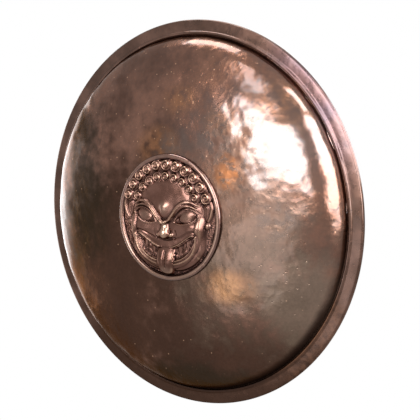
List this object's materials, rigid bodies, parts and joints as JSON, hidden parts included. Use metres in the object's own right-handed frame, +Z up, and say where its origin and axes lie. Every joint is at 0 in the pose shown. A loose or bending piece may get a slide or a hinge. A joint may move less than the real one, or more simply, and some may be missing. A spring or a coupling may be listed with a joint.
{
  "type": "hoplite aspis shield",
  "caption": "Round domed hoplite shield: bronze-faced wooden bowl with a flat rim, gorgoneion emblem, arm band, swinging hand grip and loose edge-cord rings.",
  "frame": {"origin": "on the axis of the forearm, in the middle of the arm band", "axes": "+Z up, the face looks towards -Y and the bearer stands at +Y, the forearm lies along X with the hand at -X and the elbow at +X"},
  "size_m": [0.8966, 0.1357, 0.8966],
  "materials": {
    "face_bronze": "hammered dark brown patina with copper blotches, polished on the raised parts",
    "rim_bronze": "dark brown patina, smooth and worn at the edge",
    "emblem_bronze": "reddish brown patina, rubbed bright on the high relief",
    "fitting_bronze": "cast and forged bronze, satin",
    "poplar_wood": "oiled poplar",
    "lining_leather": "waxed brown leather",
    "sleeve_leather": "stitched brown leather",
    "grip_leather": "wound dark leather strap"
  },
  "bodies": {
    "shield": {"ring_plate_1": "fitting_bronze", "ring_staple_1": "fitting_bronze", "ring_plate_2": "fitting_bronze", "ring_staple_2": "fitting_bronze", "ring_plate_3": "fitting_bronze", "ring_staple_3": "fitting_bronze", "ring_plate_4": "fitting_bronze", "ring_staple_4": "fitting_bronze", "ring_plate_5": "fitting_bronze", "ring_staple_5": "fitting_bronze", "ring_plate_6": "fitting_bronze", "ring_staple_6": "fitting_bronze", "grip_plate_upper": "fitting_bronze", "grip_staple_upper": "fitting_bronze", "grip_plate_lower": "fitting_bronze", "grip_staple_lower": "fitting_bronze", "arm_band": "fitting_bronze", "arm_band_nail_1": "fitting_bronze", "arm_band_nail_2": "fitting_bronze", "arm_band_nail_3": "fitting_bronze", "arm_band_nail_4": "fitting_bronze", "arm_band_nail_5": "fitting_bronze", "arm_band_nail_6": "fitting_bronze", "arm_band_nail_7": "fitting_bronze", "arm_band_nail_8": "fitting_bronze", "arm_band_sleeve": "sleeve_leather", "gorgoneion_emblem": "emblem_bronze", "bronze_face": "face_bronze", "rim_band": "rim_bronze", "leather_lining": "lining_leather", "core_board_1": "poplar_wood", "core_board_2": "poplar_wood", "core_board_3": "poplar_wood", "core_board_4": "poplar_wood", "core_board_5": "poplar_wood"},
    "loose_ring_1": {"ring_1": "fitting_bronze"},
    "loose_ring_2": {"ring_2": "fitting_bronze"},
    "loose_ring_3": {"ring_3": "fitting_bronze"},
    "loose_ring_4": {"ring_4": "fitting_bronze"},
    "loose_ring_5": {"ring_5": "fitting_bronze"},
    "loose_ring_6": {"ring_6": "fitting_bronze"},
    "hand_grip": {"grip_bail": "fitting_bronze", "grip_wrap": "grip_leather"}
  },
  "joints": [
    {"name": "ring_swing_1", "type": "hinge", "parent": "shield", "child": "loose_ring_1", "pos_m": [0, 0.02956, 0.3797], "axis": [0, 0.7464, 0.6655], "range_deg": [-98.08, 98.08]},
    {"name": "ring_swing_2", "type": "hinge", "parent": "shield", "child": "loose_ring_2", "pos_m": [-0.32883, 0.02956, 0.18985], "axis": [-0.5763, 0.7464, 0.3328], "range_deg": [-164.77, 31.39]},
    {"name": "ring_swing_3", "type": "hinge", "parent": "shield", "child": "loose_ring_3", "pos_m": [-0.32883, 0.02956, -0.18985], "axis": [-0.5763, 0.7464, -0.3328], "range_deg": [-196.16, 0]},
    {"name": "ring_swing_4", "type": "hinge", "parent": "shield", "child": "loose_ring_4", "pos_m": [0, 0.02956, -0.3797], "axis": [0, 0.7464, -0.6655], "range_deg": [-196.16, 0]},
    {"name": "ring_swing_5", "type": "hinge", "parent": "shield", "child": "loose_ring_5", "pos_m": [0.32883, 0.02956, -0.18985], "axis": [0.5763, 0.7464, -0.3328], "range_deg": [0, 196.16]},
    {"name": "ring_swing_6", "type": "hinge", "parent": "shield", "child": "loose_ring_6", "pos_m": [0.32883, 0.02956, 0.18985], "axis": [0.5763, 0.7464, 0.3328], "range_deg": [-31.39, 164.77]},
    {"name": "grip_swing", "type": "hinge", "parent": "shield", "child": "hand_grip", "pos_m": [-0.36977, 0.02975, 0], "axis": [0, 0, 1], "range_deg": [-25, 110]}
  ]
}
